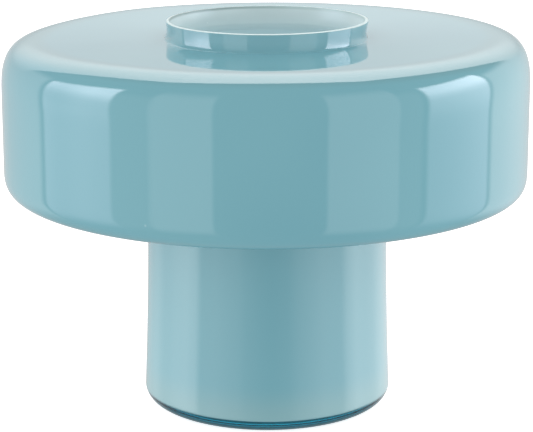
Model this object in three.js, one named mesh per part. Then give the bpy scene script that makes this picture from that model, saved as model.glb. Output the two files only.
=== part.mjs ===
// A blown glass vase of cased (overlay) glass: a broad flat drum with rounded corners on a thick
// cylindrical stem, with a short collar for a mouth. Two skins of glass run the whole height, an
// opal bubble inside and a coloured casing around it, and both stand on a solid coloured heel.
// Millimetres, +Z up. The origin is the centre of the resting face.
import * as THREE from "three";

// ---- driving dimensions ----
const FOOT_RADIUS = 64.5; // the stem where it leaves the foot's rounding
const FOOT_ROUND_R = 8.4; // the foot's rounding, across and up
const FOOT_ROUND_Z = 8.1;
const STEM_TOP_RADIUS = 61.8; // the stem eases in a little under the drum
const UNDERSIDE_Z = 111.8; // flat underside of the drum
const DRUM_RADIUS = 135;
const LOWER_ROUND_R = 21.4; // the drum's lower corner
const LOWER_ROUND_Z = 15.6;
const LOWER_FULLNESS = 3.05; // 2 is an ellipse, more is squarer
const UPPER_ROUND_R = 17.7; // the drum's upper corner
const UPPER_ROUND_Z = 25.7;
const UPPER_FULLNESS = 2.8;
const SHOULDER_Z = 193.2; // the top where it leaves the upper corner
const NECK_DIP = 1.4; // how far the top sinks towards the collar
const NECK_RADIUS = 51.5; // at the rim
const NECK_TAPER = 0.085; // how fast the collar widens below the rim
const NECK_FLARE = 1.6; // how far it flares on top of that, at its foot
const RIM_Z = 201.1;
const FILLET = 3; // the hollow rounding under the drum

const CASING_WALL = 1.9;
const LINING_WALL = 2.2;
const GAP = 0.3; // between touching pieces
const LIP_THINNING = 0.42; // wall at the lip over the wall of the body
const LIP_ROUND = 0.55; // fire-polished edges of the lip
const HEEL_FLOOR = 5.5; // solid glass under the opal bubble
const HEEL_SIDE = 6.7; // how far the heel shows up the side of the foot
const BUBBLE_ROUND = 4.5; // bottom corner of the opal bubble

const SEGMENTS = 56; // around the axis

// ---- curves in the (radius, height) half plane ----
const TURN = Math.PI / 2;
const point = (r, z) => new THREE.Vector2(r, z);

// A rounding about a centre, from one angle to another. Fullness 2 gives a circle or an ellipse.
function rounding(centre, across, up, from, to, steps, fullness = 2) {
  const points = [];
  for (let i = 0; i <= steps; i++) {
    const angle = from + ((to - from) * i) / steps;
    const c = Math.cos(angle);
    const s = Math.sin(angle);
    const x = Math.sign(c) * Math.abs(c) ** (2 / fullness);
    const y = Math.sign(s) * Math.abs(s) ** (2 / fullness);
    points.push(point(centre.x + across * x, centre.y + up * y));
  }
  return points;
}

// The stem narrows upwards, and most of that happens near the foot.
function stemRadius(z) {
  const rise = (z - FOOT_ROUND_Z) / (UNDERSIDE_Z - FILLET - FOOT_ROUND_Z);
  return STEM_TOP_RADIUS + (FOOT_RADIUS - STEM_TOP_RADIUS) * (1 - rise) ** 2;
}

function stem(steps) {
  const points = [];
  for (let i = 1; i < steps; i++) {
    const z = FOOT_ROUND_Z + ((UNDERSIDE_Z - FILLET - FOOT_ROUND_Z) * i) / steps;
    points.push(point(stemRadius(z), z));
  }
  return points;
}

// The collar, from the tight crease where it flares into the top up to the rim.
function neck(steps) {
  const height = RIM_Z - (SHOULDER_Z - NECK_DIP);
  const points = [];
  for (let i = 0; i <= steps; i++) {
    const angle = TURN * (1 - i / steps);
    const depth = height * Math.sin(angle);
    const flare = NECK_FLARE * (1 - Math.cos(angle));
    points.push(point(NECK_RADIUS + NECK_TAPER * depth + flare, RIM_Z - depth));
  }
  return points;
}

// The outer surface, from the resting face up to the rim.
function outerProfile() {
  return [
    ...rounding(
      point(FOOT_RADIUS - FOOT_ROUND_R, FOOT_ROUND_Z), FOOT_ROUND_R, FOOT_ROUND_Z, -TURN, 0, 7,
    ),
    ...stem(5),
    ...rounding(
      point(STEM_TOP_RADIUS + FILLET, UNDERSIDE_Z - FILLET), FILLET, FILLET, 2 * TURN, TURN, 4,
    ),
    ...rounding(
      point(DRUM_RADIUS - LOWER_ROUND_R, UNDERSIDE_Z + LOWER_ROUND_Z),
      LOWER_ROUND_R, LOWER_ROUND_Z, -TURN, 0, 8, LOWER_FULLNESS,
    ),
    ...rounding(
      point(DRUM_RADIUS - UPPER_ROUND_R, SHOULDER_Z - UPPER_ROUND_Z),
      UPPER_ROUND_R, UPPER_ROUND_Z, 0, TURN, 8, UPPER_FULLNESS,
    ),
    ...neck(5),
  ];
}

// How deep under the outer surface a nominal depth lies: the walls thin out up the collar.
function depthAt(z, depth) {
  const climb = THREE.MathUtils.clamp((z - SHOULDER_Z) / (RIM_Z - SHOULDER_Z), 0, 1);
  return depth * THREE.MathUtils.lerp(1, LIP_THINNING, climb);
}

// The curve at a depth inside an outer curve that is walked upwards, with the glass on its left.
function inset(curve, depth) {
  return curve.map((here, i) => {
    const before = curve[Math.max(i - 1, 0)];
    const after = curve[Math.min(i + 1, curve.length - 1)];
    const along = point(0, 0)
      .add(here.clone().sub(before).normalize())
      .add(after.clone().sub(here).normalize())
      .normalize();
    const inward = point(-along.y, along.x);
    return here.clone().addScaledVector(inward, depthAt(here.y, depth));
  });
}

// Cuts a rising curve at a height, into the parts below and above. Both end exactly on the cut.
function cutAt(curve, z) {
  const first = curve.findIndex((p) => p.y > z);
  const last = curve[first - 1];
  const share = (z - last.y) / (curve[first].y - last.y);
  const cut = last.clone().lerp(curve[first], share);
  return { below: [...curve.slice(0, first), cut], above: [cut.clone(), ...curve.slice(first)] };
}

// ---- the pieces ----
const OUTER = outerProfile();
const BUBBLE_Z = HEEL_FLOOR + GAP; // underside of the opal bubble
const CORNER_TOP = BUBBLE_Z + BUBBLE_ROUND;
const CASING_Z = HEEL_SIDE + GAP; // lower edge of the casing

// The fire-polished edge of the lip, around a centre just inside it.
function lipEdge(r, from, to) {
  return rounding(point(r, RIM_Z - LIP_ROUND), LIP_ROUND, LIP_ROUND, from, to, 3);
}

// A wall's curve at a depth, from the top of the bubble's bottom corner up to the rim.
const wall = (depth) => cutAt(inset(OUTER, depth), CORNER_TOP).above;

// The bottom corner of the bubble's outer face, or of what lies a shift outside it.
function bubbleCorner(shift) {
  const radius = wall(CASING_WALL + GAP)[0].x;
  const size = BUBBLE_ROUND + shift;
  return rounding(point(radius - BUBBLE_ROUND, CORNER_TOP), size, size, -TURN, 0, 6);
}

function casingProfile() {
  const outside = cutAt(OUTER, CASING_Z).above;
  const inside = wall(CASING_WALL);
  const corner = cutAt(bubbleCorner(GAP), CASING_Z).above.slice(0, -1);
  return [
    ...outside.slice(0, -1),
    ...lipEdge(outside.at(-1).x - LIP_ROUND, 0, TURN),
    ...inside.reverse(),
    ...corner.reverse(),
    outside[0].clone(),
  ];
}

function liningProfile() {
  const outside = wall(CASING_WALL + GAP);
  const inside = wall(CASING_WALL + GAP + LINING_WALL);
  const floorZ = BUBBLE_Z + LINING_WALL;
  const innerRound = BUBBLE_ROUND - LINING_WALL;
  const innerCorner = rounding(
    point(inside[0].x - innerRound, floorZ + innerRound), innerRound, innerRound, 0, -TURN, 4,
  );
  return [
    point(0, BUBBLE_Z),
    ...bubbleCorner(0),
    ...outside.slice(1),
    ...lipEdge(inside.at(-1).x + LIP_ROUND, TURN, 2 * TURN),
    ...inside.slice(1, -1).reverse(),
    ...innerCorner,
    point(0, floorZ),
  ];
}

// The heel fills the foot below the bubble and turns up a little around the bubble's corner.
function heelProfile() {
  const side = cutAt(OUTER, HEEL_SIDE).below;
  const seat = cutAt(bubbleCorner(GAP), HEEL_SIDE).below;
  return [point(0, 0), ...side, ...seat.reverse(), point(0, HEEL_FLOOR)];
}

function turned(name, profile, material) {
  const geometry = new THREE.LatheGeometry(profile, SEGMENTS);
  geometry.rotateX(TURN);
  const mesh = new THREE.Mesh(geometry, new THREE.MeshStandardMaterial(material));
  mesh.name = name;
  return mesh;
}

const vase = new THREE.Group();
vase.name = "vase";
vase.add(
  turned("opal_lining", liningProfile(), { color: 0xdbe9ea, roughness: 0.12, metalness: 0 }),
  turned("colour_casing", casingProfile(), { color: 0x76a9b5, roughness: 0.06, metalness: 0 }),
  turned("base_heel", heelProfile(), { color: 0x1f6c80, roughness: 0.05, metalness: 0 }),
);

export default vase;
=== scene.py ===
import math

import bmesh
import bpy
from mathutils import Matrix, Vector, noise


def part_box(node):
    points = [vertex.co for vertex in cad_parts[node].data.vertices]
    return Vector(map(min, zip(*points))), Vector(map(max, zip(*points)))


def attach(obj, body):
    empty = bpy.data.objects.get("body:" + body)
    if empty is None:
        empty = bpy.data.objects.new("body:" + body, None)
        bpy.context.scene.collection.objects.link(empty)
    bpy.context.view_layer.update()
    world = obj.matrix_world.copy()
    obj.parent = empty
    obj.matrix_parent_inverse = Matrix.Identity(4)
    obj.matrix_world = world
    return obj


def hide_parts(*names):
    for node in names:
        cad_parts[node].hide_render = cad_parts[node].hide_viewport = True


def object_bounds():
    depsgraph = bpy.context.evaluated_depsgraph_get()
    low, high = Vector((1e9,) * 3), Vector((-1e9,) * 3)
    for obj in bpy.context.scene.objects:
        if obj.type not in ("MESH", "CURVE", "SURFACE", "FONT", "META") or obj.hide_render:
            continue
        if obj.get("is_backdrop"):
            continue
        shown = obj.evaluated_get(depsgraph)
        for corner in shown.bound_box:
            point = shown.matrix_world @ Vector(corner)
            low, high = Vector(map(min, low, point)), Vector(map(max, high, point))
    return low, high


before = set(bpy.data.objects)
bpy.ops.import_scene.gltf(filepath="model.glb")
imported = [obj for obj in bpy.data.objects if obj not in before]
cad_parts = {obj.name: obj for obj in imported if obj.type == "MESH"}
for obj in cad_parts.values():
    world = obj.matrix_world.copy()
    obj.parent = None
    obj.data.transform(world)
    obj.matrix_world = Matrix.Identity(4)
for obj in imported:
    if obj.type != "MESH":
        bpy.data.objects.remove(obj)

CAD_LOW, CAD_HIGH = (Vector(corner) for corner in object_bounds())
MM = 0.001
QUARTER = math.pi / 2
TINY = 1e-6

# ---- the vase's sizes, in millimetres. The outside is the CAD's, with the stem, the drum's lower
# corner, the collar and the lip fitted closer to the photograph. The gaps that the CAD keeps
# between the layers of glass are closed here. ----
DRUM_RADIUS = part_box("colour_casing")[1][0] / MM
RIM_Z = round(CAD_HIGH.z / MM, 3)

FOOT_RADIUS = 64.6
FOOT_ROUND_R, FOOT_ROUND_Z = 8.4, 8.1
STEM_TOP_RADIUS = 62.3
UNDERSIDE_Z = 111.8
FILLET = 3.0  # the hollow rounding between stem and underside
LOWER_ROUND_R, LOWER_ROUND_Z, LOWER_FULLNESS = 21.4, 15.6, 3.2
UPPER_ROUND_R, UPPER_ROUND_Z, UPPER_FULLNESS = 17.7, 25.7, 2.8
SHOULDER_Z = 193.2  # the top where it leaves the upper corner
NECK_DIP = 1.4  # how far the top sinks towards the collar
NECK_RADIUS = 51.5  # at the rim
NECK_TAPER = 0.13  # how fast the collar widens below the rim
NECK_FLARE = 1.6  # how far it flares on top of that, towards the crease
NECK_STEEPEST = 0.87 * QUARTER  # where the flare breaks off into the crease
NECK_STEPS = 24

CASING_WALL, LINING_WALL = 2.2, 2.2
LIP_THINNING = 0.36  # wall at the lip over the wall of the body
LIP_ROUND = 0.5  # inner edge of the lip
LIP_EDGE = 0.22  # outer edge of the lip
LIP_BEVEL = 0.28  # how far the lip slopes down outwards
HEEL_FLOOR = 5.65  # solid glass under the opal bubble
HEEL_SIDE = 6.85  # how far the heel shows up the side of the foot
HEEL_HIDDEN = 1.0  # how far it goes on upwards inside the wall
HEEL_LEDGE = (0.5, 3.4)  # where that hidden part lies, inwards from the side
HEEL_SLOPE = 10  # how far in from the side its top reaches the seat
BUBBLE_ROUND = 4.5  # bottom corner of the opal bubble
CORNER_TOP = HEEL_FLOOR + BUBBLE_ROUND

SEGMENTS = 224  # around the axis


# ---- curves in the (radius, height) half plane ----
def rounding(centre, across, up, start, end, steps, fullness=2.0):
    """An arc from one angle to another. Fullness 2 is a circle or an ellipse, more is squarer."""
    points = []
    for i in range(steps + 1):
        angle = start + (end - start) * i / steps
        c, s = math.cos(angle), math.sin(angle)
        x = math.copysign(abs(c) ** (2 / fullness), c)
        y = math.copysign(abs(s) ** (2 / fullness), s)
        points.append(Vector((centre[0] + across * x, centre[1] + up * y)))
    return points


def line(start, end, steps):
    """The points between two ends, without the ends."""
    return [Vector(start).lerp(Vector(end), i / steps) for i in range(1, steps)]


def stem(steps):
    """The stem narrows upwards, and most of that happens near the foot."""
    low, high = FOOT_ROUND_Z, UNDERSIDE_Z - FILLET
    points = []
    for i in range(1, steps):
        rise = i / steps
        radius = STEM_TOP_RADIUS + (FOOT_RADIUS - STEM_TOP_RADIUS) * (1 - rise) ** 2
        points.append(Vector((radius, low + (high - low) * rise)))
    return points


def neck(foot_z):
    """The collar tapers a little towards the rim and flares into the top at a tight crease."""
    points = []
    for i in range(NECK_STEPS + 1):
        angle = NECK_STEEPEST * (1 - i / NECK_STEPS)
        depth = (RIM_Z - foot_z) * math.sin(angle) / math.sin(NECK_STEEPEST)
        radius = NECK_RADIUS + NECK_TAPER * depth + NECK_FLARE * (1 - math.cos(angle))
        points.append(Vector((radius, RIM_Z - depth)))
    return points


def outer_profile():
    """The outer surface, from the resting face up to the rim."""
    foot_centre = (FOOT_RADIUS - FOOT_ROUND_R, FOOT_ROUND_Z)
    foot = rounding(foot_centre, FOOT_ROUND_R, FOOT_ROUND_Z, -QUARTER, 0, 20)
    under_centre = (STEM_TOP_RADIUS + FILLET, UNDERSIDE_Z - FILLET)
    under = rounding(under_centre, FILLET, FILLET, 2 * QUARTER, QUARTER, 8)
    lower_centre = (DRUM_RADIUS - LOWER_ROUND_R, UNDERSIDE_Z + LOWER_ROUND_Z)
    lower = rounding(
        lower_centre, LOWER_ROUND_R, LOWER_ROUND_Z, -QUARTER, 0, 32, LOWER_FULLNESS
    )
    upper_centre = (DRUM_RADIUS - UPPER_ROUND_R, SHOULDER_Z - UPPER_ROUND_Z)
    upper = rounding(upper_centre, UPPER_ROUND_R, UPPER_ROUND_Z, 0, QUARTER, 44, UPPER_FULLNESS)
    collar = neck(SHOULDER_Z - NECK_DIP)
    return [
        *foot,
        *stem(24),
        *under,
        *line(under[-1], lower[0], 12),
        *lower,
        *line(lower[-1], upper[0], 12),
        *upper,
        *line(upper[-1], collar[0], 16),
        *collar,
    ]


def inset(curve, depth):
    """The curve at a depth inside the glass. The wall thins out up the collar."""
    inner = []
    for i, here in enumerate(curve):
        before, after = curve[max(i - 1, 0)], curve[min(i + 1, len(curve) - 1)]
        along = Vector((0, 0))
        for step in (here - before, after - here):
            if step.length > 0:
                along += step.normalized()
        along.normalize()
        climb = min(max((here.y - SHOULDER_Z) / (RIM_Z - SHOULDER_Z), 0), 1)
        thickness = depth * (1 + (LIP_THINNING - 1) * climb)
        inner.append(here + Vector((-along.y, along.x)) * thickness)
    return inner


def cut_at(curve, z):
    """Cuts a rising curve at a height, into the parts below and above."""
    first = next(i for i, p in enumerate(curve) if p.y > z)
    last = curve[first - 1]
    cut = last.lerp(curve[first], (z - last.y) / (curve[first].y - last.y))
    return [*curve[:first], cut], [cut.copy(), *curve[first:]]


OUTER = outer_profile()
CREASE = OUTER[-NECK_STEPS - 1]  # where the collar stands on the drum's top


def wall(depth):
    """A wall's curve at a depth, from the bubble's bottom corner up to the rim."""
    return cut_at(inset(OUTER, depth), CORNER_TOP)[1]


def lip_edge(radius, size, drop, start, end):
    return rounding((radius, RIM_Z - drop - size), size, size, start, end, 8)


def bubble_corner():
    """The bottom corner of the bubble's outer face."""
    centre = (wall(CASING_WALL)[0].x - BUBBLE_ROUND, CORNER_TOP)
    return rounding(centre, BUBBLE_ROUND, BUBBLE_ROUND, -QUARTER, 0, 14)


def below_lip(curve):
    return cut_at(curve, RIM_Z - LIP_BEVEL - LIP_EDGE)[0]


def casing_profile():
    """The teal glass, from the heel up to just under the lip. This outline is closed."""
    outside = below_lip(cut_at(OUTER, HEEL_SIDE)[1])
    inside = below_lip(wall(CASING_WALL))
    corner = cut_at(bubble_corner(), HEEL_SIDE)[1][:-1]
    return [*outside, *reversed(inside), *reversed(corner)]


def lining_profile():
    """The opal bubble. It wraps over the lip, which slopes down a little outwards."""
    outside = below_lip(wall(CASING_WALL))
    inside = below_lip(wall(CASING_WALL + LINING_WALL))
    floor_z = HEEL_FLOOR + LINING_WALL
    size = BUBBLE_ROUND - LINING_WALL
    corner = rounding((inside[0].x - size, floor_z + size), size, size, 0, -QUARTER, 8)
    lip_radius = below_lip(OUTER)[-1].x - LIP_EDGE
    return [
        Vector((0, HEEL_FLOOR)),
        *bubble_corner(),
        *outside[1:],
        *lip_edge(lip_radius, LIP_EDGE, LIP_BEVEL, 0, QUARTER),
        *lip_edge(inside[-1].x + LIP_ROUND, LIP_ROUND, 0, QUARTER, 2 * QUARTER)[:-1],
        *reversed(inside[1:]),
        *corner,
        *line(corner[-1], (0, floor_z), 8),
        Vector((0, floor_z)),
    ]


def heel_profile():
    """The clear heel reaches into the opal bubble, so that the bubble sits in it with no gap."""
    side = cut_at(OUTER, HEEL_SIDE)[0]
    radius, seat = side[-1].x, HEEL_FLOOR + 0.5 * LINING_WALL
    return [
        Vector((0, 0)),
        *side,
        *(Vector((radius - inwards, HEEL_SIDE + HEEL_HIDDEN)) for inwards in HEEL_LEDGE),
        Vector((radius - HEEL_SLOPE, seat)),
        Vector((0, seat)),
    ]


# ---- hand-blown irregularity, the same for every piece so that the layers stay together.
# Lengths are in millimetres, and each pair says where something begins and where it is full ----
DRUM_FROM, TOP_FROM, COLLAR_FROM = (105, 125), (140, 190), (188, RIM_Z)
DRUM_LEAN, TOP_LEAN = 0.001, 0.003  # rise to the right, per millimetre across
RIM_DROP = 0.22  # keeps the leaning rim under the CAD's top
LEFT_SAG, LEFT_FROM = 1.15, (65, 125)  # the left end of the top hangs lower
UNDERSIDE_SAG = 0.3  # the lower half of the drum hangs lower
SLIMMER, OVAL, OVAL_PHASE = 0.0006, 0.0004, 0.2  # the drum, as shares of its width
WAVE, WAVE_SCALE, WAVE_FROM = 0.08, 0.021, (5, 60)
PINCH, PINCH_SHARPNESS = 0.036, 6  # the collar's base is drawn in at its two sides
PINCH_INSIDE, PINCH_FROM, PINCH_GONE = (66, 54), (150, 188), (RIM_Z, 193)
STEM_ASIDE, RIM_ASIDE = 0.75, 0.7  # how far they stand to the right


def smooth(value, start, end):
    share = min(max((value - start) / (end - start), 0), 1)
    return share * share * (3 - 2 * share)


def pinch(radius, angle, z):
    where = smooth(radius, *PINCH_INSIDE) * smooth(z, *PINCH_FROM) * smooth(z, *PINCH_GONE)
    return PINCH * where * math.cos(angle) ** PINCH_SHARPNESS


def by_hand(p):
    """p in millimetres. Leans of the top and the rim, a slightly oval drum, and soft waves."""
    x, y, z = p
    drum, top, collar = smooth(z, *DRUM_FROM), smooth(z, *TOP_FROM), smooth(z, *COLLAR_FROM)
    lift = x * (DRUM_LEAN * drum + TOP_LEAN * top) - RIM_DROP * collar
    lift -= LEFT_SAG * top * smooth(-x, *LEFT_FROM) + UNDERSIDE_SAG * drum * (1 - top)
    angle = math.atan2(y, x)
    oval = 1 - drum * (SLIMMER - OVAL * math.sin(2 * angle + OVAL_PHASE))
    oval -= pinch(math.hypot(x, y), angle, z)
    wave = WAVE * noise.noise(Vector(p) * WAVE_SCALE) * smooth(z, *WAVE_FROM) * (1 - drum)
    outward = Vector((x, y, 0))
    if outward.length > 0:
        outward.normalize()
    aside = STEM_ASIDE * (1 - drum) + RIM_ASIDE * collar
    return Vector((x * oval + aside, y * oval, z + lift)) + outward * wave


# ---- meshes ----
def ring_of(bm, point):
    """The points around the axis for one point of a profile. A point on the axis is a pole."""
    if point.x < TINY:
        return [bm.verts.new(by_hand((0, 0, point.y)) * MM)]
    ring = []
    for i in range(SEGMENTS):
        angle = 2 * math.pi * i / SEGMENTS
        spot = (point.x * math.cos(angle), point.x * math.sin(angle), point.y)
        ring.append(bm.verts.new(by_hand(spot) * MM))
    return ring


def join_rings(bm, low, high):
    for i in range(SEGMENTS):
        j = (i + 1) % SEGMENTS
        if len(low) == 1:
            bm.faces.new((low[0], high[j], high[i]))
        elif len(high) == 1:
            bm.faces.new((low[i], low[j], high[0]))
        else:
            bm.faces.new((low[i], low[j], high[j], high[i]))


def to_piece(name, bm):
    mesh = bpy.data.meshes.new(name)
    bm.to_mesh(mesh)
    bm.free()
    piece = bpy.data.objects.new(name, mesh)
    bpy.context.scene.collection.objects.link(piece)
    return piece


def revolve(name, profile, closed):
    """A surface of revolution about the vase's axis, sharp only at the collar's crease."""
    bm = bmesh.new()
    rings = [ring_of(bm, point) for point in profile]
    pairs = list(zip(rings, rings[1:]))
    if closed:
        pairs.append((rings[-1], rings[0]))
    for low, high in pairs:
        join_rings(bm, low, high)
    bmesh.ops.recalc_face_normals(bm, faces=bm.faces)
    for face in bm.faces:
        face.smooth = True
    for ring, point in zip(rings, profile):
        if (point - CREASE).length < TINY:
            for one, other in zip(ring, ring[1:] + ring[:1]):
                bm.edges.get((one, other)).smooth = False
    return to_piece(name, bm)


# ---- node helpers ----
RAMP_TOP = 8.0  # a colour ramp holds 0 to 1, so levels in it are divided by this


def plug(tree, socket, value):
    if isinstance(value, bpy.types.NodeSocket):
        tree.links.new(value, socket)
    else:
        socket.default_value = value


def calc(tree, operation, *values):
    node = tree.nodes.new("ShaderNodeMath")
    node.operation = operation
    for socket, value in zip(node.inputs, values):
        plug(tree, socket, value)
    return node.outputs[0]


def times(tree, one, other):
    return calc(tree, "MULTIPLY", one, other)


def most(tree, one, other):
    return calc(tree, "MAXIMUM", one, other)


def fade(tree, value, start, end, low=0.0, high=1.0):
    """A smooth step of value from start to end."""
    node = tree.nodes.new("ShaderNodeMapRange")
    node.interpolation_type = "SMOOTHSTEP"
    for name, given in zip(
        ("Value", "From Min", "From Max", "To Min", "To Max"), (value, start, end, low, high)
    ):
        plug(tree, node.inputs[name], given)
    return node.outputs["Result"]


def band(tree, value, low, high, soft):
    """1 between low and high, with soft edges."""
    rise = fade(tree, value, low - soft, low + soft)
    fall = fade(tree, value, high - soft, high + soft, 1.0, 0.0)
    return times(tree, rise, fall)


def curve(tree, value, stops):
    """A level that follows value from stop to stop: stops are (value, level)."""
    low, high = stops[0][0], stops[-1][0]
    ramp = tree.nodes.new("ShaderNodeValToRGB")
    elements = ramp.color_ramp.elements
    while len(elements) < len(stops):
        elements.new(0.5)
    for element, (at, level) in zip(elements, stops):
        element.position = (at - low) / (high - low)
        element.color = (level / RAMP_TOP, level / RAMP_TOP, level / RAMP_TOP, 1)
    span = tree.nodes.new("ShaderNodeMapRange")
    for name, given in zip(("Value", "From Min", "From Max"), (value, low, high)):
        plug(tree, span.inputs[name], given)
    tree.links.new(span.outputs["Result"], ramp.inputs["Fac"])
    return times(tree, ramp.outputs["Color"], RAMP_TOP)


def mix(tree, kind, share, one, other):
    """one where share is 0, other where it is 1."""
    node = tree.nodes.new("ShaderNodeMix")
    node.data_type = kind
    plug(tree, node.inputs["Factor"], share)
    plug(tree, node.inputs["A"], one)
    plug(tree, node.inputs["B"], other)
    return node.outputs["Result"]


def blend(tree, share, one, other):
    return mix(tree, "FLOAT", share, one, other)


def colours(tree, share, one, other):
    return mix(tree, "RGBA", share, one, other)


def parts_of(tree, vector):
    split = tree.nodes.new("ShaderNodeSeparateXYZ")
    tree.links.new(vector, split.inputs[0])
    return split.outputs


def bearing_of(tree, x, y):
    """Degrees around the vase: 0 towards the camera's side, 90 to the right."""
    return calc(tree, "DEGREES", calc(tree, "ARCTAN2", x, times(tree, y, -1.0)))


# ---- the studio, as the glass mirrors it. Bearings and rises are in degrees ----
DARK = 0.45  # the level around the camera
REFLECTOR_LEVEL, REFLECTOR_FADE, REFLECTOR_SOFT = 1.7, (24.0, 46.0), 1.2
LEFT_REFLECTOR, RIGHT_REFLECTOR = (-51.0, -22.0), (26.0, 58.5)
GAP_LEVEL, GAP_FADE = 0.88, (16.0, 30.0)
LEFT_GAP, LEFT_GAP_SOFT = (-69.0, -50.0), 2.5
RIGHT_GAP, RIGHT_GAP_SOFT = (58.0, 69.0), 1.5

LEFT_BOX, RIGHT_BOX, BOX_SOFT = (-108.5, -68.5), (72.0, 109.5), 1.6
LEFT_BOX_TOP, LEFT_BOX_SLOPE, LEFT_BOX_FADE = 54.5, 0.33, (-2.0, 3.5)
RIGHT_BOX_FADE = (25.5, 31.0)
BOX_LEVELS = (
    (-90, 0.6), (-35, 1.0), (-12, 1.9), (-5, 2.7), (4, 3.4), (9, 4.7), (13, 6.2), (18, 7.2),
    (40, 7.4),
)
BOX_FAR_LEFT, FAR_LEFT_SHARE = (-101.0, -80.0), 0.66
BOX_FAR_RIGHT, FAR_RIGHT_SHARE = (68.0, 100.0), 1.12
LOW_LEFT_RISE, LOW_LEFT_BEARING, LOW_LEFT_EXTRA = (0.0, -9.0), (-60.0, -66.0), 0.5
BOX_TINT = (0.97, 1.0, 1.12, 1)

SURROUND_FROM, SURROUND_FADE = (109.0, 114.0), (16.0, 26.0)
SURROUND_LEVELS = (
    (-180, 0.68), (-158, 0.85), (-144, 0.93), (-128, 1.2), (-113, 1.55), (113, 2.2), (130, 1.8),
    (150, 1.15), (163, 0.82), (180, 0.68),
)

OVERHEAD_LEVELS = (
    (0, 0.8), (7, 1.05), (14, 1.45), (22, 2.0), (33, 2.75), (43, 3.6), (52, 4.5), (62, 5.3),
    (75, 6.4), (90, 6.8),
)
OVERHEAD_FADE, OVERHEAD_TILT, OVERHEAD_SHARE = (2.0, 12.0), 0.09, 0.985
EDGE_HALF_WIDTH, LEFT_WING_SLOPE, RIGHT_WING_SLOPE = 0.40, -1.0, 1.53  # on a plane 1 unit up
EDGE_BACK, EDGE_SOFT = 0.07, 0.03
LEAST_HEIGHT = 0.001  # keeps that plane's division away from 0

UNDERNEATH_LEVEL, UNDERNEATH_FADE = 0.46, (-19.0, -42.0)

PLAIN_FADE, PLAIN_LOW, PLAIN_HIGH = (-0.4, 0.8), 0.84, 0.79  # the soft light for all but gloss
PLAIN_SIDES = 0.82  # how much more of it comes from the two sides


def reflectors(tree, bearing, rise):
    """The dark camera side, a dim reflector either side of it, and the gaps beyond them."""
    left = band(tree, bearing, *LEFT_REFLECTOR, REFLECTOR_SOFT)
    right = band(tree, bearing, *RIGHT_REFLECTOR, REFLECTOR_SOFT)
    level = fade(tree, rise, *REFLECTOR_FADE, REFLECTOR_LEVEL, DARK)
    glow = blend(tree, most(tree, left, right), DARK, level)
    left = band(tree, bearing, *LEFT_GAP, LEFT_GAP_SOFT)
    right = band(tree, bearing, *RIGHT_GAP, RIGHT_GAP_SOFT)
    level = fade(tree, rise, *GAP_FADE, GAP_LEVEL, DARK)
    return blend(tree, most(tree, left, right), glow, level)


def softboxes(tree, bearing, rise):
    """Where the bright softboxes at the sides are, and their level, hottest at their tops."""
    top = calc(tree, "MULTIPLY_ADD", bearing, LEFT_BOX_SLOPE, LEFT_BOX_TOP)
    above = calc(tree, "SUBTRACT", rise, top)
    left = band(tree, bearing, *LEFT_BOX, BOX_SOFT)
    left = times(tree, left, fade(tree, above, *LEFT_BOX_FADE, 1.0, 0.0))
    right = band(tree, bearing, *RIGHT_BOX, BOX_SOFT)
    right = times(tree, right, fade(tree, rise, *RIGHT_BOX_FADE, 1.0, 0.0))
    level = curve(tree, rise, BOX_LEVELS)
    level = times(tree, level, fade(tree, bearing, *BOX_FAR_LEFT, FAR_LEFT_SHARE, 1.0))
    level = times(tree, level, fade(tree, bearing, *BOX_FAR_RIGHT, 1.0, FAR_RIGHT_SHARE))
    low_left = times(
        tree, fade(tree, rise, *LOW_LEFT_RISE), fade(tree, bearing, *LOW_LEFT_BEARING)
    )
    level = calc(tree, "MULTIPLY_ADD", low_left, LOW_LEFT_EXTRA, level)
    return most(tree, left, right), level


def overhead_light(tree, direction, rise):
    """Where the big overhead light is, and its level. Its front edge is sharp, with two wings."""
    x, y, z = direction
    height = most(tree, z, LEAST_HEIGHT)
    across, back = calc(tree, "DIVIDE", x, height), calc(tree, "DIVIDE", y, height)
    left_wing = times(tree, calc(tree, "ADD", across, EDGE_HALF_WIDTH), LEFT_WING_SLOPE)
    right_wing = times(tree, calc(tree, "SUBTRACT", across, EDGE_HALF_WIDTH), RIGHT_WING_SLOPE)
    edge = most(tree, most(tree, left_wing, right_wing), 0.0)
    past = calc(tree, "SUBTRACT", calc(tree, "SUBTRACT", back, edge), EDGE_BACK)
    cover = times(tree, fade(tree, past, -EDGE_SOFT, EDGE_SOFT), fade(tree, rise, *OVERHEAD_FADE))
    tilt = calc(tree, "MULTIPLY_ADD", x, OVERHEAD_TILT, OVERHEAD_SHARE)
    return cover, times(tree, curve(tree, rise, OVERHEAD_LEVELS), tilt)


def mirrored(tree, direction):
    """What the gloss shows in a direction: its level, and where the side softboxes are."""
    x, y, z = direction
    bearing = bearing_of(tree, x, y)
    rise = calc(tree, "DEGREES", calc(tree, "ARCSINE", z))
    boxes, box_level = softboxes(tree, bearing, rise)
    glow = blend(tree, boxes, reflectors(tree, bearing, rise), box_level)
    surround = curve(tree, bearing, SURROUND_LEVELS)
    behind = fade(tree, calc(tree, "ABSOLUTE", bearing), *SURROUND_FROM)
    behind = times(tree, behind, fade(tree, rise, *SURROUND_FADE, 1.0, 0.0))
    glow = blend(tree, behind, glow, surround)
    cover, overhead = overhead_light(tree, direction, rise)
    glow = blend(tree, cover, glow, most(tree, overhead, times(tree, behind, surround)))
    underneath = fade(tree, rise, *UNDERNEATH_FADE)
    return blend(tree, underneath, glow, UNDERNEATH_LEVEL), boxes


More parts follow.
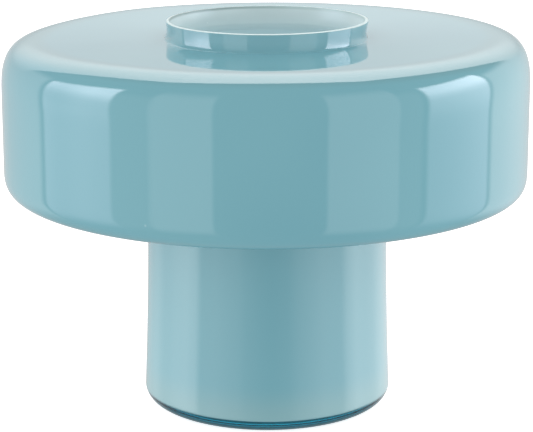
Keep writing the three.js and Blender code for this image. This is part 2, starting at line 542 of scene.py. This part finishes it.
def studio():
    """Plain soft light all round, with the mirrored pattern for gloss and white behind."""
    world = bpy.data.worlds.new("studio")
    bpy.context.scene.world = world
    world.use_nodes = True
    tree = world.node_tree
    tree.nodes.clear()
    direction = parts_of(tree, tree.nodes.new("ShaderNodeTexCoord").outputs["Generated"])
    glow, boxes = mirrored(tree, direction)
    path = tree.nodes.new("ShaderNodeLightPath")
    x, y, z = direction
    plain = fade(tree, z, *PLAIN_FADE, PLAIN_LOW, PLAIN_HIGH)
    plain = calc(tree, "ADD", plain, times(tree, times(tree, x, x), PLAIN_SIDES))
    plain = blend(tree, path.outputs["Is Camera Ray"], plain, 1.0)
    background = tree.nodes.new("ShaderNodeBackground")
    boxes = times(tree, boxes, path.outputs["Is Glossy Ray"])
    tint = colours(tree, boxes, (1, 1, 1, 1), BOX_TINT)
    tree.links.new(tint, background.inputs["Color"])
    seen = blend(tree, path.outputs["Is Glossy Ray"], plain, glow)
    tree.links.new(seen, background.inputs["Strength"])
    output = tree.nodes.new("ShaderNodeOutputWorld")
    tree.links.new(background.outputs[0], output.inputs["Surface"])


# ---- materials. Pairs say where a tint begins and where it is full ----
GLASS_IOR = 1.5
DRIFT = (0.35, 0.65)  # the part of the noise over which one colour drifts into the other
SEED_EDGE = (0.045, 0.02)  # from a cell's middle
TEAL, DEEP_TEAL = (0.178, 0.402, 0.462, 1), (0.160, 0.376, 0.440, 1)
FOOT_TEAL, FOOT_SHARE, FOOT_BELOW = (0.225, 0.405, 0.435, 1), 0.75, (0.026, 0.009)
# painted shade: the drum's top near the shoulder is darker teal, for the weaker light that falls
# on the top
SHADED_SHOULDER_TEAL, SHADED_SHOULDER_SHARE = (0.165, 0.345, 0.385, 1), 0.9
SHADED_SHOULDER_ABOVE, SHADED_SHOULDER_BEYOND = (0.1875, 0.1915), (0.108, 0.118)
COLLAR_LIGHT_TEAL, COLLAR_LIGHT_SHARE = (0.250, 0.480, 0.540, 1), 0.5  # painted light: the collar is paler, for the brighter reflections it shows
COLLAR_LIGHT_ABOVE = ((SHOULDER_Z - NECK_DIP + 0.5) * MM, (RIM_Z - 4) * MM)
TEAL_SEED, TEAL_SEED_SHARE = (0.42, 0.62, 0.66, 1), 0.35
TEAL_SEED_RELIEF = 0.2

MILK, BLUE_MILK = (0.60, 0.72, 0.73, 1), (0.55, 0.68, 0.70, 1)
MILK_SEED, MILK_SEED_SHARE = (0.9, 0.95, 0.96, 1), 0.3
# painted shade: the inner edge of the lip is darker
SHADED_INNER_LIP, SHADED_INNER_LIP_ABOVE = (0.26, 0.36, 0.36, 1), ((RIM_Z - 2.2) * MM, (RIM_Z - 0.9) * MM)
SHADED_INNER_LIP_WITHIN = ((NECK_RADIUS - 2.2) * MM, (NECK_RADIUS - 1.0) * MM)
RIM_MILK, RIM_ABOVE = (0.46, 0.60, 0.60, 1), ((RIM_Z - 1.3) * MM, (RIM_Z - 0.8) * MM)
OPAL_GLOW, GLOW_COLOUR = 0.165, (0.82, 0.98, 1.04, 1)  # daylight that comes through the walls
GLOW_BELOW = ((RIM_Z - 17) * MM, (RIM_Z - 4) * MM)
STEM_GLOW, STEM_GLOW_TO = 0.3, (0.03, 0.13)  # down in the stem less of it arrives

HEEL_DEEP, HEEL_LIGHT = (0.003, 0.170, 0.240, 1), (0.008, 0.205, 0.275, 1)
HEEL_ABSORBS, HEEL_DENSITY = (0.05, 0.60, 0.72, 1), 5.0

# Noise is (scale, detail, roughness), seeds are (scale, share of the cells), relief is in metres.
TEAL_DRIFT, MILK_DRIFT, HEEL_DRIFT = (7.0, 2.0, 0.45), (12.0, 3.0, 0.5), (25.0, 2.0, 0.5)
TEAL_WAVES, MILK_WAVES, HEEL_WAVES = (22.0, 1.5, 0.4), (30.0, 2.0, 0.5), (40.0, 1.5, 0.4)
TEAL_RELIEF, MILK_RELIEF, HEEL_RELIEF = 0.00006, 0.00008, 0.00004
TEAL_SEEDS, MILK_SEEDS = (55.0, 0.18), (70.0, 0.2)


def new_material(name):
    material = bpy.data.materials.new(name)
    material.use_nodes = True
    tree = material.node_tree
    return material, tree, tree.nodes["Principled BSDF"]


def texture(tree, kind, scale, **settings):
    node = tree.nodes.new(kind)
    place = tree.nodes.new("ShaderNodeTexCoord")
    tree.links.new(place.outputs["Object"], node.inputs["Vector"])
    node.inputs["Scale"].default_value = scale
    for name, value in settings.items():
        node.inputs[name].default_value = value
    return node


def grain(tree, scale, detail, roughness):
    node = texture(tree, "ShaderNodeTexNoise", scale, Detail=detail, Roughness=roughness)
    return node.outputs["Fac"]


def drifting(tree, pattern, one, other):
    """Two colours that drift into each other."""
    return colours(tree, fade(tree, grain(tree, *pattern), *DRIFT), one, other)


def seeds(tree, scale, share):
    """Small trapped bubbles: 1 at the middle of a few cells, 0 elsewhere."""
    cells = texture(tree, "ShaderNodeTexVoronoi", scale)
    split = tree.nodes.new("ShaderNodeSeparateColor")
    tree.links.new(cells.outputs["Color"], split.inputs[0])
    chosen = calc(tree, "GREATER_THAN", split.outputs[0], 1 - share)
    dot = fade(tree, cells.outputs["Distance"], *SEED_EDGE)
    return times(tree, chosen, dot)


def place_of(tree):
    """A point's height, and how far it lies from the vase's axis, in metres."""
    x, y, z = parts_of(tree, tree.nodes.new("ShaderNodeTexCoord").outputs["Object"])
    squares = calc(tree, "ADD", times(tree, x, x), times(tree, y, y))
    return z, calc(tree, "SQRT", squares)


def bump(tree, shader, height, distance):
    node = tree.nodes.new("ShaderNodeBump")
    node.inputs["Strength"].default_value = 1.0
    node.inputs["Distance"].default_value = distance
    tree.links.new(height, node.inputs["Height"])
    tree.links.new(node.outputs["Normal"], shader.inputs["Normal"])


def casing_glass():
    """Teal over opal: it reads as opaque, so the colour is on the surface."""
    material, tree, shader = new_material("teal_cased_glass")
    height, distance = place_of(tree)
    body = drifting(tree, TEAL_DRIFT, TEAL, DEEP_TEAL)
    foot = fade(tree, height, *FOOT_BELOW)
    body = colours(tree, times(tree, foot, FOOT_SHARE), body, FOOT_TEAL)
    # painted shade: darker teal on the top near the shoulder
    shoulder_shade = times(
        tree, fade(tree, height, *SHADED_SHOULDER_ABOVE), fade(tree, distance, *SHADED_SHOULDER_BEYOND)
    )
    body = colours(tree, times(tree, shoulder_shade, SHADED_SHOULDER_SHARE), body, SHADED_SHOULDER_TEAL)
    # painted light: paler teal up the collar, for the brighter reflections it shows
    collar_light = fade(tree, height, *COLLAR_LIGHT_ABOVE)
    body = colours(tree, times(tree, collar_light, COLLAR_LIGHT_SHARE), body, COLLAR_LIGHT_TEAL)
    dots = seeds(tree, *TEAL_SEEDS)
    body = colours(tree, times(tree, dots, TEAL_SEED_SHARE), body, TEAL_SEED)
    plug(tree, shader.inputs["Base Color"], body)
    shader.inputs["Roughness"].default_value = 0.03
    shader.inputs["IOR"].default_value = GLASS_IOR
    waves = calc(tree, "MULTIPLY_ADD", dots, TEAL_SEED_RELIEF, grain(tree, *TEAL_WAVES))
    bump(tree, shader, waves, TEAL_RELIEF)
    return material


def opal_glass():
    """Opal white, with painted shade on the inner edge of the lip, and teal-tinged over the rim.
    """
    material, tree, shader = new_material("opal_glass")
    height, distance = place_of(tree)
    body = drifting(tree, MILK_DRIFT, MILK, BLUE_MILK)
    dots = seeds(tree, *MILK_SEEDS)
    body = colours(tree, times(tree, dots, MILK_SEED_SHARE), body, MILK_SEED)
    # painted shade: darker opal on the inner edge of the lip
    within = fade(tree, distance, *SHADED_INNER_LIP_WITHIN, 1.0, 0.0)
    lip_shade = times(tree, fade(tree, height, *SHADED_INNER_LIP_ABOVE), within)
    body = colours(tree, lip_shade, body, SHADED_INNER_LIP)
    rim = times(tree, fade(tree, height, *RIM_ABOVE), calc(tree, "SUBTRACT", 1.0, within))
    body = colours(tree, rim, body, RIM_MILK)
    plug(tree, shader.inputs["Base Color"], body)
    shader.inputs["Roughness"].default_value = 0.34
    shader.inputs["IOR"].default_value = GLASS_IOR
    shader.inputs["Emission Color"].default_value = GLOW_COLOUR
    glow = fade(tree, height, *GLOW_BELOW, OPAL_GLOW, 0.0)
    glow = times(tree, glow, fade(tree, height, *STEM_GLOW_TO, STEM_GLOW, 1.0))
    plug(tree, shader.inputs["Emission Strength"], glow)
    bump(tree, shader, grain(tree, *MILK_WAVES), MILK_RELIEF)
    return material


def heel_glass():
    """Clear deep teal glass."""
    material, tree, shader = new_material("teal_clear_glass")
    body = drifting(tree, HEEL_DRIFT, HEEL_DEEP, HEEL_LIGHT)
    plug(tree, shader.inputs["Base Color"], body)
    shader.inputs["Transmission Weight"].default_value = 1.0
    shader.inputs["Roughness"].default_value = 0.02
    shader.inputs["IOR"].default_value = GLASS_IOR
    bump(tree, shader, grain(tree, *HEEL_WAVES), HEEL_RELIEF)
    absorb = tree.nodes.new("ShaderNodeVolumeAbsorption")
    absorb.inputs["Color"].default_value = HEEL_ABSORBS
    absorb.inputs["Density"].default_value = HEEL_DENSITY
    tree.links.new(absorb.outputs["Volume"], tree.nodes["Material Output"].inputs["Volume"])
    return material


# ---- the pieces ----
def make_vase():
    parts = (
        ("opal_bubble", lining_profile(), False, opal_glass(), "opal_lining", "opal_glass"),
        ("teal_casing", casing_profile(), True, casing_glass(), "colour_casing",
         "teal_cased_glass"),
        ("clear_heel", heel_profile(), False, heel_glass(), "base_heel", "teal_clear_glass"),
    )
    for name, profile, closed, material, node, slot in parts:
        piece = revolve(name, profile, closed)
        piece.data.materials.append(material)
        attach(piece, "root")
        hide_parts(node)


# ---- the stage. Rings are (radius, height above the floor), in metres ----
BRIM_TOP, BRIM_EDGE, CARDS_FOOT = (0.0645, 0.1085), (0.4, 0.031), (0.4, -0.3)
CARD_CORNERS = 128
CARD_LEVELS = (
    (-180, 0.7), (-153, 0.8), (-132, 1.2), (-119, 1.7), (-108, 1.8), (-99, 2.2), (-90, 2.9),
    (-76, 3.75), (-66, 3.5), (-60, 1.9), (-46, 2.0), (-25, 1.5), (-19, 1.1), (-5, 0.7),
    (5, 0.58), (18, 0.8), (28, 1.45), (50, 2.3), (69, 2.15), (76, 3.3), (86, 3.75), (101, 2.75),
    (111, 2.3), (122, 2.1), (136, 1.6), (156, 1.0), (180, 0.7),
)
CARD_FOOT_LEVEL, CARD_FOOT_FADE = 0.6, (-0.08, -0.26)
FLOOR_RADIUS = 30
FLOOR_DROP = 0.0003  # just under the foot, so that the two don't share a plane
FLOOR_WHITE, FLOOR_GLOW = (0.9, 0.9, 0.9, 1), 0.8


def card_surface():
    bm = bmesh.new()
    circles = []
    for radius, z in (BRIM_TOP, BRIM_EDGE, CARDS_FOOT):
        corners = [2 * math.pi * i / CARD_CORNERS for i in range(CARD_CORNERS)]
        spots = [(radius * math.cos(a), radius * math.sin(a), CAD_LOW.z + z) for a in corners]
        circles.append([bm.verts.new(spot) for spot in spots])
    for upper, lower in zip(circles, circles[1:]):
        for i in range(CARD_CORNERS):
            j = (i + 1) % CARD_CORNERS
            bm.faces.new((upper[j], upper[i], lower[i], lower[j]))
    return to_piece("low_cards", bm)


def card_material():
    """Glows on the inside. The outside, and any ray that has come through it, stays clear."""
    material = bpy.data.materials.new("low_cards")
    material.use_nodes = True
    tree = material.node_tree
    tree.nodes.clear()
    geometry = tree.nodes.new("ShaderNodeNewGeometry")
    x, y, z = parts_of(tree, geometry.outputs["Position"])
    glow = curve(tree, bearing_of(tree, x, y), CARD_LEVELS)
    glow = blend(tree, fade(tree, z, *CARD_FOOT_FADE), glow, CARD_FOOT_LEVEL)
    emission = tree.nodes.new("ShaderNodeEmission")
    tree.links.new(glow, emission.inputs["Strength"])
    clear = tree.nodes.new("ShaderNodeBsdfTransparent")
    path = tree.nodes.new("ShaderNodeLightPath")
    passed = calc(tree, "GREATER_THAN", path.outputs["Transparent Depth"], 0.5)
    outside = calc(tree, "SUBTRACT", 1.0, geometry.outputs["Backfacing"])
    either = tree.nodes.new("ShaderNodeMixShader")
    plug(tree, either.inputs[0], most(tree, passed, outside))
    tree.links.new(emission.outputs[0], either.inputs[1])
    tree.links.new(clear.outputs[0], either.inputs[2])
    output = tree.nodes.new("ShaderNodeOutputMaterial")
    tree.links.new(either.outputs[0], output.inputs["Surface"])
    return material


def low_cards():
    """
    A low ring of pale cards around the foot, under a brim that slopes up to the top of the stem.
    Only the stem mirrors them. Seen from above the brim is clear, and a ray that has passed
    through it comes from the drum, so the ring lets it through too.
    """
    piece = card_surface()
    piece.data.materials.append(card_material())
    for ray in ("camera", "diffuse", "transmission", "volume_scatter", "shadow"):
        setattr(piece, "visible_" + ray, False)
    piece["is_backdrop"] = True


def floor():
    """A plain white floor that neither shows in the gloss nor lights the vase."""
    bm = bmesh.new()
    bmesh.ops.create_circle(bm, cap_ends=True, segments=96, radius=FLOOR_RADIUS)
    piece = to_piece("floor", bm)
    piece.location.z = CAD_LOW.z - FLOOR_DROP
    material, _, shader = new_material("floor_white")
    shader.inputs["Base Color"].default_value = FLOOR_WHITE
    shader.inputs["Roughness"].default_value = 1.0
    shader.inputs["Specular IOR Level"].default_value = 0.0
    shader.inputs["Emission Color"].default_value = (1, 1, 1, 1)
    shader.inputs["Emission Strength"].default_value = FLOOR_GLOW
    piece.data.materials.append(material)
    piece.visible_glossy = False
    piece.visible_diffuse = False
    piece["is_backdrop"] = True


# ---- the camera, from fitting the outline to the photograph ----
CAMERA_AT = (0.00038, -1.01552, 0.34795)
CAMERA_DOWN = 13.858  # degrees below the level
CAMERA_LENS, CAMERA_SENSOR = 135.2, 36  # millimetres


def camera():
    data = bpy.data.cameras.new("camera")
    data.sensor_width = CAMERA_SENSOR
    data.lens = CAMERA_LENS
    data.clip_start, data.clip_end = 0.05, 60
    piece = bpy.data.objects.new("camera", data)
    bpy.context.scene.collection.objects.link(piece)
    piece.location = CAMERA_AT
    piece.rotation_euler = (math.radians(90 - CAMERA_DOWN), 0, 0)
    bpy.context.scene.camera = piece


studio()
low_cards()
floor()
make_vase()
camera()
bpy.context.scene.view_settings.view_transform = "Standard"
bpy.context.scene.view_settings.look = "None"
